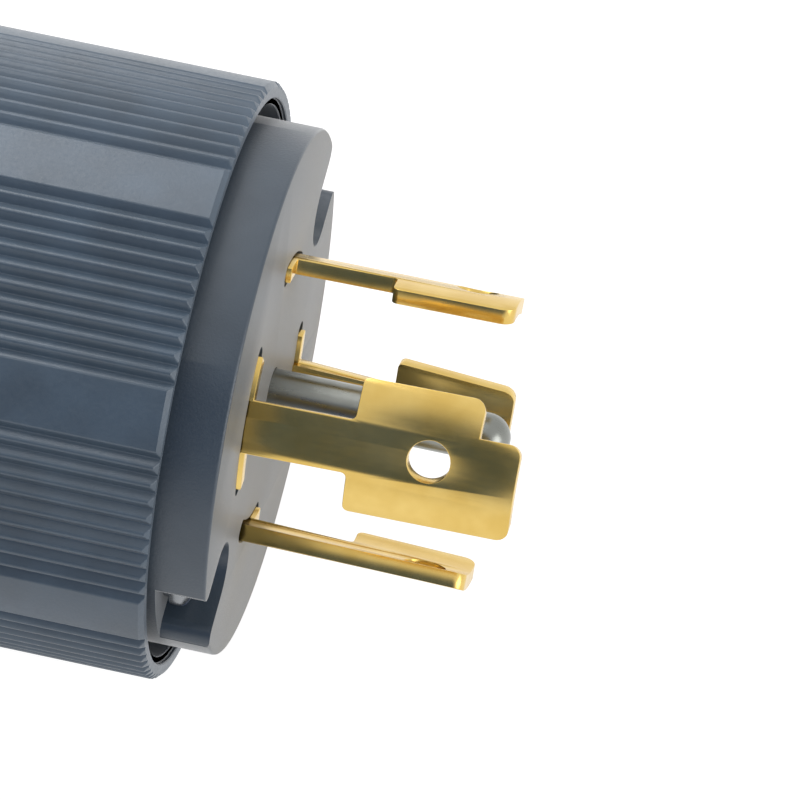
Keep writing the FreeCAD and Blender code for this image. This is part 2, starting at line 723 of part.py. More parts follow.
def ribbed_shell():
    """Outer sleeve: a stepped rim, groups of grooves between smooth bands, and a resting flat."""
    body = turned_body("sleeve_tube", (
        (bore_radius, sleeve_back),
        (sleeve_radius, sleeve_back),
        (sleeve_radius, rim - d.rim_chamfer),
        (sleeve_radius - d.rim_chamfer, rim),
        (mouth_radius + d.rim_step_width, rim),
        (mouth_radius + d.rim_step_width, rim - d.rim_step_depth),
        (mouth_radius, rim - d.rim_step_depth),
        (mouth_radius, ledge),
        (bore_radius, ledge)))
    root = sleeve_radius - d.groove_depth
    skim = 0.05
    flare = (d.groove_width - d.groove_root) / 2 / d.groove_depth * skim
    outer_half = d.groove_width / 2 + flare
    root_half = d.groove_root / 2
    sketch = outlined(body, "groove_outline", "XY_Plane", (
        (root, -root_half),
        (sleeve_radius + skim, -outer_half),
        (sleeve_radius + skim, outer_half),
        (root, root_half)))
    groove = body.newObject("PartDesign::Pocket", "groove")
    groove.Profile = sketch
    groove.Type = "ThroughAll"
    doc.recompute()
    axis = [item for item in body.Origin.OriginFeatures if item.Role == "Z_Axis"][0]
    pattern = body.newObject("PartDesign::MultiTransform", "groove_pattern")
    pattern.Originals = [groove]
    group = body.newObject("PartDesign::PolarPattern", "groove_group")
    group.Axis = (axis, "")
    tie(group, "Angle", d.groove_turn * (d.groove_count - 1))
    tie(group, "Occurrences", d.groove_count)
    ring = body.newObject("PartDesign::PolarPattern", "groove_ring")
    ring.Axis = (axis, "")
    tie(ring, "Angle", d.group_turn * (d.group_count - 1))
    tie(ring, "Occurrences", d.group_count)
    pattern.Transformations = [group, ring]
    body.Tip = pattern
    grooved = turned_to("sleeve_grooved", body, d.group_start + d.groove_turn / 2)
    return cut("sleeve_shape", grooved, resting_flat("sleeve_flat", sleeve_back, rim))


def resting_flat(name, low, high):
    """What is taken off below the flat that the plug lies on."""
    reach = sleeve_radius + OVERRUN
    return brick(name, (-reach, reach), (-reach, flat_height), (low - OVERRUN, high + OVERRUN))


def flange_gasket():
    """Flat rubber ring between the carrier's flange and the sleeve's ledge."""
    return turned_body("gasket_ring", (
        (bore_radius + d.gasket_setback, ledge),
        (flange_radius, ledge),
        (flange_radius, flange_back),
        (bore_radius + d.gasket_setback, flange_back)))


def long_screw():
    """Long slotted screw from the carrier's pocket to the cover's insert."""
    top = pocket_floor + d.screw_head_thick
    half = d.driver_slot_width / 2
    shank = rod("long_shank", d.screw_radius, pocket_floor - d.screw_length, pocket_floor,
                screw_ring_radius)
    head = rod("long_head", d.screw_head_radius, pocket_floor, top, screw_ring_radius)
    reach = d.screw_head_radius + OVERRUN
    slot = brick("long_slot", (screw_ring_radius - reach, screw_ring_radius + reach),
                 (-half, half), (top - d.driver_slot_depth, top + OVERRUN))
    return cut("long_screw_shape", fuse("long_solid", shank, head), slot)


def threaded_insert():
    """Brass insert in a boss of the cover."""
    low = boss_front - d.insert_length
    outside = rod("insert_outside", insert_radius, low, boss_front, screw_ring_radius)
    inside = rod("insert_inside", insert_bore, low - OVERRUN, boss_front + OVERRUN,
                 screw_ring_radius)
    return cut("insert_shape", outside, inside)


def jaw(name, low, high, back, front):
    """Half of the clamp between two heights: a half ring with an ear at each side."""
    ring = rod(name + "_ring", jaw_radius, back, front)
    keep_low = low if low.number > 0 else -jaw_radius
    keep_high = jaw_radius if low.number > 0 else high
    room = brick(name + "_room", (-jaw_radius, jaw_radius), (keep_low, keep_high), (back, front))
    half_ring = doc.addObject("Part::Common", name + "_half_ring")
    half_ring.Base = ring
    half_ring.Tool = room
    ears = brick(name + "_ears", (-ear_end, ear_end), (low, high), (back, front))

    def ear_corner(edge):
        wide, tall, _ = spans(edge)
        upright = near(tall[0], low) and near(tall[1], high)
        return upright and near(abs(wide[0]), ear_end)

    eased = rounded(name + "_ears_eased", ears, (d.ear_round, ear_corner))
    holes = [upright_rod(name + "_hole", d.clamp_screw_radius + d.clamp_hole_gap, low - OVERRUN,
                         high + OVERRUN, side, jaw_middle) for side in (clamp_offset, -clamp_offset)]
    return fuse(name + "_solid", half_ring, eased), holes


def rear_cover():
    """Cover with a spigot, two bosses, the cord seal's neck and the clamp's fixed jaw."""
    blank = turned_body("cover_blank", (
        (spigot_inner, spigot_front),
        (d.core_radius, spigot_front),
        (d.core_radius, sleeve_back),
        (sleeve_radius, sleeve_back),
        (sleeve_radius, rim_back),
        (neck_radius + d.neck_taper, neck_front),
        (neck_radius, neck_back),
        (neck_bore - d.neck_lip_reach, neck_back),
        (neck_bore - d.neck_lip_reach, seal_back),
        (neck_bore, seal_back),
        (neck_bore, ring_front),
        (spigot_inner, rim_back - d.cover_straight)))

    def shoulder(edge):
        box = edge.BoundBox
        return near(box.ZMin, rim_back) and near(box.ZMax, rim_back) and near(box.XMax, sleeve_radius)

    outside = rounded("cover_rounded", blank, (d.cover_round, shoulder))
    boss = rod("cover_boss", insert_radius + d.insert_gap + d.boss_wall, rim_back, boss_front,
               screw_ring_radius)
    boss_hole = rod("cover_boss_hole", insert_radius + d.insert_gap,
                    boss_front - d.insert_length, boss_front + OVERRUN, screw_ring_radius)
    bosses = [turned_to("boss", boss, place) for place in screw_places]
    boss_holes = [turned_to("boss_hole", boss_hole, place) for place in screw_places]
    fixed_jaw, holes = jaw("fixed_jaw", -ear_top, -jaw_edge, jaw_back, neck_back + d.jaw_root)
    bore = rod("jaw_bore", d.cord_radius, jaw_back - OVERRUN, neck_back)
    inside = rod("seal_room", neck_bore - d.neck_lip_reach, neck_back, ring_front)
    nut_rooms = [upright_hexagon("nut_room", d.nut_radius + d.nut_gap, -ear_top - OVERRUN,
                                 nut_top, side, jaw_middle)
                 for side in (clamp_offset, -clamp_offset)]
    flat = resting_flat("cover_flat", neck_front, sleeve_back - OVERRUN)
    return cut("cover_shape", fuse("cover_solid", outside, fixed_jaw, *bosses),
               bore, inside, flat, *holes, *boss_holes, *nut_rooms)


def cord_grommet():
    """Rubber seal that the cord passes through."""
    return turned_body("seal_ring", (
        (seal_bore + d.seal_chamfer, seal_back),
        (seal_radius, seal_back),
        (seal_radius, seal_front),
        (seal_bore + d.seal_chamfer, seal_front),
        (seal_bore, seal_front - d.seal_chamfer),
        (seal_bore, seal_back + d.seal_chamfer)))


def grommet_ring():
    """Thrust ring that keeps the cord seal in its seat."""
    return turned_body("thrust_ring", (
        (d.cord_radius + d.ring_gap, seal_front),
        (seal_radius, seal_front),
        (seal_radius, ring_front),
        (d.cord_radius + d.ring_gap, ring_front)))


def clamp_saddle():
    """Moving jaw of the cord clamp, drawn closed."""
    front = neck_back - d.jaw_back_gap
    solid, holes = jaw("moving_jaw", jaw_edge, ear_top, jaw_back, front)
    bore = rod("saddle_bore", d.cord_radius, jaw_back - OVERRUN, front + OVERRUN)
    return cut("saddle_shape", solid, bore, *holes)


def clamp_screw(name, side):
    """Upright slotted screw through both jaws into a nut."""
    half = d.driver_slot_width / 2
    head_top = ear_top + d.clamp_head_thick
    shank = upright_rod(name + "_shank", d.clamp_screw_radius, -ear_top - d.clamp_screw_end,
                        ear_top, side, jaw_middle)
    head = upright_rod(name + "_head", d.clamp_head_radius, ear_top, head_top, side, jaw_middle)
    reach = d.clamp_head_radius + OVERRUN
    slot = brick(name + "_slot", (side - reach, side + reach),
                 (head_top - d.driver_slot_depth, head_top + OVERRUN),
                 (jaw_middle - half, jaw_middle + half))
    return cut(name + "_shape", fuse(name + "_solid", shank, head), slot)


def clamp_nut(name, side):
    """Hexagon nut in the fixed jaw's ear."""
    nut = upright_hexagon(name + "_blank", d.nut_radius, nut_top - d.nut_thick, nut_top, side,
                          jaw_middle)
    hole = upright_rod(name + "_thread", d.clamp_screw_radius + d.thread_gap,
                       nut_top - d.nut_thick - OVERRUN, nut_top + OVERRUN, side, jaw_middle)
    return cut(name + "_shape", nut, hole)


def write_parts():
    """Check every object and every sub-part, then write each sub-part to its own file."""
    doc.recompute()
    for item in doc.Objects:
        if "Invalid" in item.State or "Error" in item.State:
            raise RuntimeError("%s failed: %s" % (item.Name, item.State))
    for node in nodes:
        if node.Shape.isNull() or not node.Shape.isValid() or not node.Shape.Solids:
            raise RuntimeError(node.Label + " has no valid solid")
    os.makedirs("parts", exist_ok=True)
    for node in nodes:
        node.Shape.exportStep("parts/%s.step" % node.Label)
        print("%-18s %d solid(s) %9.1f mm3" % (node.Label, len(node.Shape.Solids), node.Shape.Volume))


add_node("blade_carrier", blade_carrier())
add_node("ribbed_shell", ribbed_shell())
add_node("terminal_block", terminal_block())
add_node("rear_cover", rear_cover())
add_node("flange_gasket", flange_gasket())
add_node("wide_blade", wide_blade(), turn=wide_place)
line_blade = narrow_blade()
for number, place in enumerate(narrow_places, start=1):
    add_node("line_blade_%d" % number, line_blade, turn=place)
add_node("ground_pin", ground_pin())
add_node("ground_strap", ground_strap(), turn=ground_place)
plate = pressure_plate()
screw = binding_screw()
for number, place in enumerate(terminal_places, start=1):
    add_node("terminal_clamp_%d" % number, plate, turn=place)
    add_node("terminal_screw_%d" % number, screw, turn=place)
one_long_screw = long_screw()
add_node("assembly_screws", *[turned_to("long_screw", one_long_screw, place)
                              for place in screw_places])
one_insert = threaded_insert()
add_node("threaded_inserts", *[turned_to("insert", one_insert, place) for place in screw_places])
add_node("cord_grommet", cord_grommet())
add_node("grommet_ring", grommet_ring())
add_node("clamp_saddle", clamp_saddle())
add_node("clamp_screw_1", clamp_screw("first_clamp_screw", clamp_offset))
add_node("clamp_screw_2", clamp_screw("second_clamp_screw", -clamp_offset))
add_node("clamp_nuts", clamp_nut("first_nut", clamp_offset), clamp_nut("second_nut", -clamp_offset))
write_parts()
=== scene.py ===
"""Rewirable locking plug: four curved brass blades round a steel pin, a round blade carrier, a
ribbed nylon sleeve, and a rear cover with a cord seal and a two-jaw clamp.

Lengths are in millimetres. The plug's axis lies on X, with the carrier's face at x = 0 and the
cord's end behind it. Angles round the axis are in degrees, from +Y towards +Z. Pieces are
modelled in millimetres, and made metres when they are finished.
"""
import math

import bpy
from mathutils import Matrix, Vector


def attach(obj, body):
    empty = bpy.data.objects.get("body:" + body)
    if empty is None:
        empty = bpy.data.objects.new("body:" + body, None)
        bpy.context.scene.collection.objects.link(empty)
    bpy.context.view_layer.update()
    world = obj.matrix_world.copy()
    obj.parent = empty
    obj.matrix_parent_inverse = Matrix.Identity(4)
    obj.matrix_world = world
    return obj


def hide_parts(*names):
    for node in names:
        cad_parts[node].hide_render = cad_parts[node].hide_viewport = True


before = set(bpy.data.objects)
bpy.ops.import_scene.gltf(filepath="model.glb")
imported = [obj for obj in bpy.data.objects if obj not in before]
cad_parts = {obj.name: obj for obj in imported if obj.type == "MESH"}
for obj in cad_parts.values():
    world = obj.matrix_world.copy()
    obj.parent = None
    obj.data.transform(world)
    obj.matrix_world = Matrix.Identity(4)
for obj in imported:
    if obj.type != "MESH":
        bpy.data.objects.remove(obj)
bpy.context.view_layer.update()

MM = 0.001
OVERRUN = 1.0           # how far a cutting tool passes the face that it opens
BEYOND = 30.0           # farther from the axis than the piece that is cut
SMOOTH_ANGLE = 35       # faces that meet at less are shaded as one
QUARTER = math.pi / 2

# Carrier and sleeve, round and then from the face backwards
CORE_RADIUS = 24.2
BORE_RADIUS = 24.6
FACE_RADIUS = 25.0
FLANGE_RADIUS = 25.9
MOUTH_RADIUS = 26.2
RIM_STEP_RADIUS = 26.9
SLEEVE_RADIUS = 28.4
RIM = -5.0
RIM_STEP = 0.4
FLANGE_FRONT = -8.0
FLANGE_BACK = -9.3
LEDGE = -10.0
CARRIER_BACK = -16.0
SLEEVE_BACK = -46.0
FLAT_HEIGHT = -27.01    # the flat that the plug lies on
FACE_BEVEL = 0.3
RIM_STEP_BEVEL = 0.1
RIM_CHAMFER = 0.45
CHAMFER_RINGS = 4
BACK_CHAMFER = 0.3
SLEEVE_SIDES = 3600

# Grooves of the sleeve
GROUPS = 6
GROUP_TURN = 45.0
GROOVES = 10
GROOVE_TURN = 3.4
FIRST_GROOVE = -35.2
GROOVE_SEAM = 20        # angles are counted from this far before the first groove
GROOVE_HALF = 0.72
GROOVE_SLOPE = 0.95
GROOVE_ROUND = 0.06

# Blades
BLADE_RADIUS = 13.55
BLADE_INNER = 12.05
PER_DEGREE = math.radians(BLADE_RADIUS)
BEND_STEP = 3.0         # degrees between the lines along which a flat piece bends
WIDE_PLACE = 140.0
WIDE_HALF_TURN = 27.75
NARROW_PLACES = (50.0, 230.0, 320.0)
NARROW_HALF_TURN = 16.5
# How each blade stands in its slot, by its place: degrees turned and mm out at the face, then
# degrees of twist and mm of lean for each mm ahead of it. The blades have play in their slots.
STANCES = {140.0: (3.5, 0.2, -0.069, 0.0), 50.0: (0.5, -0.45, -0.03, 0.01),
           230.0: (1.9, 0.4, -0.106, 0.02), 320.0: (0.2, 0.0, -0.148, -0.075)}
LUG_BACK = -17.6
SHOULDER_BACK = -6.0
SHOULDER_FRONT = 0.4
FOOT_BACK = 9.9
FOOT_CORNERS = 20.0     # only the foot's front corners lie ahead of this
FOOT_ROUND = 1.2
HEEL_ROUND = 0.6
STEM_ROUND = 0.5
BLADE_HOLE_X = 17.2
BLADE_HOLE_RADIUS = 2.0
TAIL_BACK = -30.0
TAIL_FRONT = -16.8
TAIL_RADIUS = 13.4
TAIL_INNER = 11.9
TAIL_HALF = 3.3
TERMINAL_X = -24.20
TERMINAL_HOLE = 2.05

# What is cut from the carrier: blade slots, screw pockets and the pin's hole
SLOT_BACK = -30.0
SLOT_GAP = 0.35
SLOT_END_GAP = 1.1
SLOT_ROUND = 1.0
SCREW_PLACES = (12.2, 192.2)
SCREW_RING = 19.9
POCKET_HALF = 3.6
POCKET_FLOOR = -4.7
POCKET_REACH = FACE_RADIUS + 5
POCKET_CORNER = 1.5
SCREW_SEAT = -4.0
SEAT_RADIUS = 2.4
SCREW_HOLE = 1.75
PIN_HOLE = 2.4

# Pin and screws
PIN_RADIUS = 2.3
PIN_STRAIGHT = 20.5
LONG_SCREW = {"head_radius": 3.05, "head_thick": 1.75, "radius": 1.5, "length": 36.0}
LONG_SCREW_TURN = 25
CLAMP_SCREW = {"head_radius": 3.6, "head_thick": 2.4, "radius": 1.9, "length": 17.75,
               "pitch": 0.7}
CLAMP_SCREW_TURN = 35
THREAD_DEPTH = 0.35
DRIVE_DEPTH = 0.9
DRIVE_HALF = 0.45

# Rear cover, clamp and seals
SPIGOT_FRONT = -40.0
COVER_BORE = 21.8
COVER_CONE = -51.0
COVER_RIM = -49.5
COVER_ROUND = 1.985
COVER_FRONT_BEVEL = 0.3
NECK_FRONT = -60.0
NECK_FRONT_RADIUS = 18.5
NECK_BACK = -66.0
NECK_BACK_RADIUS = 17.0
SEAL_SEAT_FRONT = -58.2
SEAL_SEAT_BACK = -64.5
SEAL_SEAT_RADIUS = 13.2
LIP_RADIUS = 11.0
JAW_BACK = -79.0
JAW_ROOT = 1.5
JAW_RADIUS = 14.5
SADDLE_FRONT = -66.4
CORD_RADIUS = 10.0
GRIP = ((0.0, 0.0), (0.5, 0.7), (1.3, 0.7), (1.8, 0.0))     # along and deep, in the cord's bore
GRIP_START = 1.6
GRIP_PITCH = 3.0
EAR_LOW = 0.75
EAR_HIGH = 7.75
EAR_END = 21.0
EAR_ROUND = 3.0
CLAMP_X = -72.5
CLAMP_Y = 16.5
CLAMP_HOLE = 2.15
NUT_LOW = -7.6
NUT_HIGH = -4.6
NUT_RADIUS = 4.04
NUT_FACE_RADIUS = 3.5
NUT_CHAMFER = 0.3
NUT_BORE = 1.95
NUT_ROOM = 4.19
GASKET_INNER = 24.7


# --- Modelling -------------------------------------------------------------------------------

def only(piece):
    """Select one piece and nothing else."""
    if bpy.context.object and bpy.context.object.mode != "OBJECT":
        bpy.ops.object.mode_set(mode="OBJECT")
    bpy.ops.object.select_all(action="DESELECT")
    piece.select_set(True)
    bpy.context.view_layer.objects.active = piece


def begin(add, name, **settings):
    """Add a primitive, and apply its place so that its mesh lies where it shows."""
    bpy.ops.object.select_all(action="DESELECT")
    add(**settings)
    piece = bpy.context.object
    piece.name = name
    bpy.ops.object.transform_apply(location=True, rotation=True, scale=True)
    return piece


def put(piece, place=(0, 0, 0), turn=(0, 0, 0), stretch=(1, 1, 1)):
    """Stretch and turn a piece about the origin, move it, and apply all three."""
    only(piece)
    piece.scale = stretch
    piece.rotation_euler = [math.radians(angle) for angle in turn]
    piece.location = place
    bpy.ops.object.transform_apply(location=True, rotation=True, scale=True)
    return piece


def copied(piece, name):
    """Copy a piece, with a mesh of its own."""
    only(piece)
    bpy.ops.object.duplicate()
    twin = bpy.context.object
    twin.name = name
    return twin


def choose(piece, kind, test):
    """Open a piece in edit mode with the vertices, edges or faces that pass a test selected.

    The test gets a vertex's place, an edge's middle and direction, or a face's middle and normal.
    """
    only(piece)
    bpy.context.tool_settings.mesh_select_mode = [kind == one for one in ("VERT", "EDGE", "FACE")]
    mesh = piece.data
    for group in (mesh.vertices, mesh.edges, mesh.polygons):
        group.foreach_set("select", [False] * len(group))
    if kind == "VERT":
        mesh.vertices.foreach_set("select", [bool(test(one.co)) for one in mesh.vertices])
    elif kind == "EDGE":
        ends = [[mesh.vertices[end].co for end in edge.vertices] for edge in mesh.edges]
        mesh.edges.foreach_set("select", [bool(test((low + high) / 2, (high - low).normalized()))
                                          for low, high in ends])
    else:
        mesh.polygons.foreach_set("select", [bool(test(one.center, one.normal))
                                             for one in mesh.polygons])
    bpy.ops.object.mode_set(mode="EDIT")


def modify(piece, kind, **settings):
    """Add a modifier and apply it."""
    only(piece)
    modifier = piece.modifiers.new(kind, kind)
    for setting, value in settings.items():
        setattr(modifier, setting, value)
    bpy.ops.object.modifier_apply(modifier=modifier.name)
    return piece


def combine(piece, operation, *tools):
    """Join other solids to a piece, cut them from it or keep what it shares with them."""
    for tool in tools:
        modify(piece, "BOOLEAN", object=tool, operation=operation, solver="EXACT")
        bpy.data.objects.remove(tool)
    return piece


def soften(piece, width, segments=2, angle=30):
    """Bevel the sharp edges of a piece."""
    return modify(piece, "BEVEL", width=width, segments=segments, limit_method="ANGLE",
                  angle_limit=math.radians(angle), use_clamp_overlap=True)


def bevel_where(piece, kind, test, width, segments):
    """Bevel the edges, or the corners, that pass a test."""
    choose(piece, kind, test)
    affect = "VERTICES" if kind == "VERT" else "EDGES"
    bpy.ops.mesh.bevel(offset=width, segments=segments, affect=affect, clamp_overlap=False)
    bpy.ops.object.mode_set(mode="OBJECT")


def face_out(piece):
    """Merge doubles and turn every face outwards."""
    only(piece)
    bpy.ops.object.mode_set(mode="EDIT")
    bpy.ops.mesh.select_all(action="SELECT")
    bpy.ops.mesh.remove_doubles(threshold=0.0005)
    bpy.ops.mesh.normals_make_consistent(inside=False)
    bpy.ops.object.mode_set(mode="OBJECT")
    return piece


def flatten(piece):
    """Press what lies below the resting flat up to it."""
    choose(piece, "VERT", lambda place: place.z < FLAT_HEIGHT)
    bpy.ops.transform.resize(value=(1, 1, 0), center_override=(0, 0, FLAT_HEIGHT))
    bpy.ops.object.mode_set(mode="OBJECT")


def turned(name, rings, sides=96, hollow=False):
    """Turn a piece on the plug's axis: one circle drawn out through (x, radius) rings.

    A solid piece gets a flat end at each side. A hollow one comes back to its first ring.
    """
    x, radius = rings[0]
    piece = begin(bpy.ops.mesh.primitive_circle_add, name, vertices=sides, radius=radius,
                  fill_type="NOTHING" if hollow else "NGON", location=(x, 0, 0),
                  rotation=(0, QUARTER, 0))
    choose(piece, "EDGE", lambda middle, way: True)
    for next_x, next_radius in list(rings[1:]) + ([rings[0]] if hollow else []):
        bpy.ops.mesh.extrude_edges_move(TRANSFORM_OT_translate={"value": (next_x - x, 0, 0)})
        share = next_radius / radius
        bpy.ops.transform.resize(value=(1, share, share), center_override=(next_x, 0, 0))
        x, radius = next_x, next_radius
    if not hollow:
        bpy.ops.mesh.edge_face_add()
    bpy.ops.object.mode_set(mode="OBJECT")
    return face_out(piece)


def block(name, low, high):
    """Box between two corners."""
    middle = [(a + b) / 2 for a, b in zip(low, high)]
    return begin(bpy.ops.mesh.primitive_cube_add, name, size=1, location=middle,
                 scale=[b - a for a, b in zip(low, high)])


def bar(name, radius, low, high, y=0, z=0, sides=64):
    """Round bar along the plug's axis."""
    return begin(bpy.ops.mesh.primitive_cylinder_add, name, vertices=sides, radius=radius,
                 depth=high - low, location=((low + high) / 2, y, z), rotation=(0, QUARTER, 0))


def post(name, radius, low, high, x, y, sides=48):
    """Upright round bar."""
    return begin(bpy.ops.mesh.primitive_cylinder_add, name, vertices=sides, radius=radius,
                 depth=high - low, location=(x, y, (low + high) / 2))


def finish(piece, body, slot, material, *nodes):
    """Make a piece metres, smooth it, and put it on its CAD body in place of its nodes."""
    only(piece)
    piece.scale = (MM, MM, MM)
    bpy.ops.object.transform_apply(location=True, rotation=True, scale=True)
    bpy.ops.object.shade_smooth_by_angle(angle=math.radians(SMOOTH_ANGLE))
    piece.data.materials.clear()
    piece.data.materials.append(material)
    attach(piece, body)
    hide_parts(*nodes)
    return piece


# --- Materials -------------------------------------------------------------------------------

def linear(code):
    """Linear colour of an sRGB hex value."""
    parts = [int(code[place:place + 2], 16) / 255 for place in (1, 3, 5)]
    return [part / 12.92 if part <= 0.04045 else ((part + 0.055) / 1.055) ** 2.4
            for part in parts] + [1.0]


def add_node(material, kind, inputs=None, **settings):
    """Add a shader node, with its settings and with a value or a link for each input."""
    made = material.node_tree.nodes.new(kind)
    for setting, value in settings.items():
        setattr(made, setting, value)
    for socket, value in (inputs or {}).items():
        if isinstance(value, bpy.types.NodeSocket):
            material.node_tree.links.new(value, made.inputs[socket])
        else:
            made.inputs[socket].default_value = value
    return made


def new_material(name):
    """Empty material, its shader, and the place on the piece in millimetres."""
    material = bpy.data.materials.new(name)
    material.use_nodes = True
    material.node_tree.nodes.clear()
    shader = add_node(material, "ShaderNodeBsdfPrincipled")
    add_node(material, "ShaderNodeOutputMaterial", {"Surface": shader.outputs[0]})
    place = add_node(material, "ShaderNodeTexCoord").outputs["Object"]
    metric = add_node(material, "ShaderNodeMapping", {"Vector": place, "Scale": (1 / MM,) * 3})
    return material, shader, metric.outputs[0]


def noise(material, place, size, detail, roughness=0.5):
    """Noise with features of a size in millimetres."""
    return add_node(material, "ShaderNodeTexNoise", {
        "Vector": place, "Scale": 1 / size, "Detail": detail, "Roughness": roughness}).outputs[0]


def two_tone(material, factor, low, high, start=0.35, end=0.65):
    """Colour that goes from low to high as factor goes from start to end."""
    ramp = add_node(material, "ShaderNodeMapRange", {"Value": factor, "From Min": start,
                                                     "From Max": end})
    mix = add_node(material, "ShaderNodeMix", data_type="RGBA")
    material.node_tree.links.new(ramp.outputs[0], mix.inputs["Factor"])
    ends = {"A": linear(low), "B": linear(high)}
    for socket in mix.inputs:
        if socket.type == "RGBA":
            socket.default_value = ends[socket.name]
    return [socket for socket in mix.outputs if socket.type == "RGBA"][0]


def dress(material, shader, colour, grain, roughness, spread, relief):
    """Give a shader its colour, and let a grain vary its roughness and raise it a little."""
    rough = add_node(material, "ShaderNodeMapRange",
                     {"Value": grain, "From Min": 0.3, "From Max": 0.7,
                      "To Min": roughness - spread, "To Max": roughness + spread})
    bump = add_node(material, "ShaderNodeBump", {"Height": grain, "Strength": 1.0,
                                                 "Distance": relief * MM})
    for socket, value in (("Base Color", colour), ("Roughness", rough.outputs[0]),
                          ("Normal", bump.outputs[0])):
        material.node_tree.links.new(value, shader.inputs[socket])


def moulded_nylon(name, low, high, roughness, grain, relief, sheen=0.0, gloss=0.5):
    """Moulded nylon: even satin colour, a fine spark-eroded grain and a faint cloudiness."""
    material, shader, place = new_material(name)
    colour = two_tone(material, noise(material, place, 6.0, 3.0), low, high)
    dress(material, shader, colour, noise(material, place, grain, 2.0, 0.6), roughness, 0.06,
          relief)
    shader.inputs["IOR"].default_value = 1.53
    shader.inputs["Sheen Weight"].default_value = sheen
    shader.inputs["Sheen Roughness"].default_value = 0.35
    shader.inputs["Specular IOR Level"].default_value = gloss
    return material


def worked_metal(name, low, high, roughness, stretch, relief, spread=0.06):
    """Bare metal with fine drawn or turned lines: colour and gloss change from line to line."""
    material, shader, place = new_material(name)
    lines = add_node(material, "ShaderNodeMapping", {"Vector": place, "Scale": stretch}).outputs[0]
    colour = two_tone(material, noise(material, place, 4.0, 3.0), low, high)
    dress(material, shader, colour, noise(material, lines, 1.0, 4.0, 0.65), roughness, spread,
          relief)
    shader.inputs["Metallic"].default_value = 1.0
    return material


sleeve_nylon = moulded_nylon("satin_blue_grey_nylon", "#445362", "#4b5c6d", roughness=0.38,
                             grain=0.35, relief=0.012, sheen=0.2, gloss=0.65)
carrier_nylon = moulded_nylon("grained_grey_nylon", "#32404e", "#3a4856", roughness=0.4,
                              grain=0.25, relief=0.02, sheen=1.0, gloss=0.7)
block_nylon = moulded_nylon("black_nylon", "#1d1e20", "#242527", roughness=0.5, grain=0.4,
                            relief=0.01)
seal_rubber = moulded_nylon("black_rubber", "#161617", "#1c1c1d", roughness=0.75, grain=0.3,
                            relief=0.01)
blade_brass = worked_metal("stamped_brass", "#d9b765", "#e3c476", roughness=0.25,
                           stretch=(0.8, 2.0, 2.0), relief=0.002, spread=0.02)
pin_steel = worked_metal("turned_steel", "#878984", "#92948f", roughness=0.3,
                         stretch=(0.5, 2.5, 2.5), relief=0.002, spread=0.05)
screw_steel = worked_metal("zinc_plated_steel", "#878a8d", "#93969a", roughness=0.3,
                           stretch=(4.0, 4.0, 4.0), relief=0.003)


# --- Ribbed sleeve ---------------------------------------------------------------------------

def groove_depth(place):
    """How deep the sleeve's skin lies at an angle: groups of grooves with smooth bands between.

    A groove has straight flanks, and its corners are rounded by a mean over places nearby.
    """
    turn = math.degrees(math.atan2(place.z, place.y)) - FIRST_GROOVE
    turn = (turn + GROOVE_SEAM) % 360 - GROOVE_SEAM
    group = min(round((turn - GROOVE_TURN * (GROOVES - 1) / 2) / GROUP_TURN), GROUPS - 1)
    along = turn - group * GROUP_TURN
    groove = min(max(round(along / GROOVE_TURN), 0), GROOVES - 1)
    across = math.radians(along - groove * GROOVE_TURN) * SLEEVE_RADIUS
    near = [abs(across + step) for step in (-GROOVE_ROUND, 0, GROOVE_ROUND)]
    return GROOVE_SLOPE * sum(max(GROOVE_HALF - away, 0) for away in near) / len(near)


def on_rim_step(middle, way):
    """True for the round edges of the step inside the sleeve's rim."""
    return (middle.x > RIM - RIM_STEP - 0.1 and abs(way.x) < 0.5
            and math.hypot(middle.y, middle.z) < RIM_STEP_RADIUS + 0.1)


# The rim's chamfer has many rings, because each groove runs out through it in a point.
chamfer = [(RIM - RIM_CHAMFER * share / CHAMFER_RINGS,
            SLEEVE_RADIUS - RIM_CHAMFER * (CHAMFER_RINGS - share) / CHAMFER_RINGS)
           for share in range(CHAMFER_RINGS, -1, -1)]
sleeve = turned("ribbed_sleeve", [
    (SLEEVE_BACK, SLEEVE_RADIUS - BACK_CHAMFER), (SLEEVE_BACK + BACK_CHAMFER, SLEEVE_RADIUS)
    ] + chamfer + [
    (RIM, RIM_STEP_RADIUS), (RIM - RIM_STEP, RIM_STEP_RADIUS), (RIM - RIM_STEP, MOUTH_RADIUS),
    (LEDGE, MOUTH_RADIUS), (LEDGE, BORE_RADIUS), (SLEEVE_BACK, BORE_RADIUS)],
                sides=SLEEVE_SIDES, hollow=True)
bevel_where(sleeve, "EDGE", on_rim_step, RIM_STEP_BEVEL, 1)
for vertex in sleeve.data.vertices:
    radius = math.hypot(vertex.co.y, vertex.co.z)
    skin = SLEEVE_RADIUS - groove_depth(vertex.co)
    if radius > skin:
        vertex.co.yz *= skin / radius
flatten(sleeve)
finish(sleeve, "plug", "sleeve_nylon", sleeve_nylon, "ribbed_shell")


# --- Blades ----------------------------------------------------------------------------------

def wrap(piece, place):
    """Bend a flat piece round the axis: its width becomes arc and its height becomes radius."""
    turn, out, twist, lean = STANCES[place]
    for vertex in piece.data.vertices:
        x, across, height = vertex.co
        angle = math.radians(place + turn + twist * max(x, 0) + across / PER_DEGREE)
        height += out + lean * max(x, 0)
        vertex.co.yz = height * math.cos(angle), height * math.sin(angle)
    return face_out(piece)


def cut_line(piece, across=None, along=None):
    """Cut a flat piece with a straight line across or along it."""
    choose(piece, "FACE", lambda middle, normal: True)
    if along is None:
        bpy.ops.mesh.bisect(plane_co=(0, across, 0), plane_no=(0, 1, 0))
    else:
        bpy.ops.mesh.bisect(plane_co=(along, 0, 0), plane_no=(1, 0, 0))
    bpy.ops.object.mode_set(mode="OBJECT")


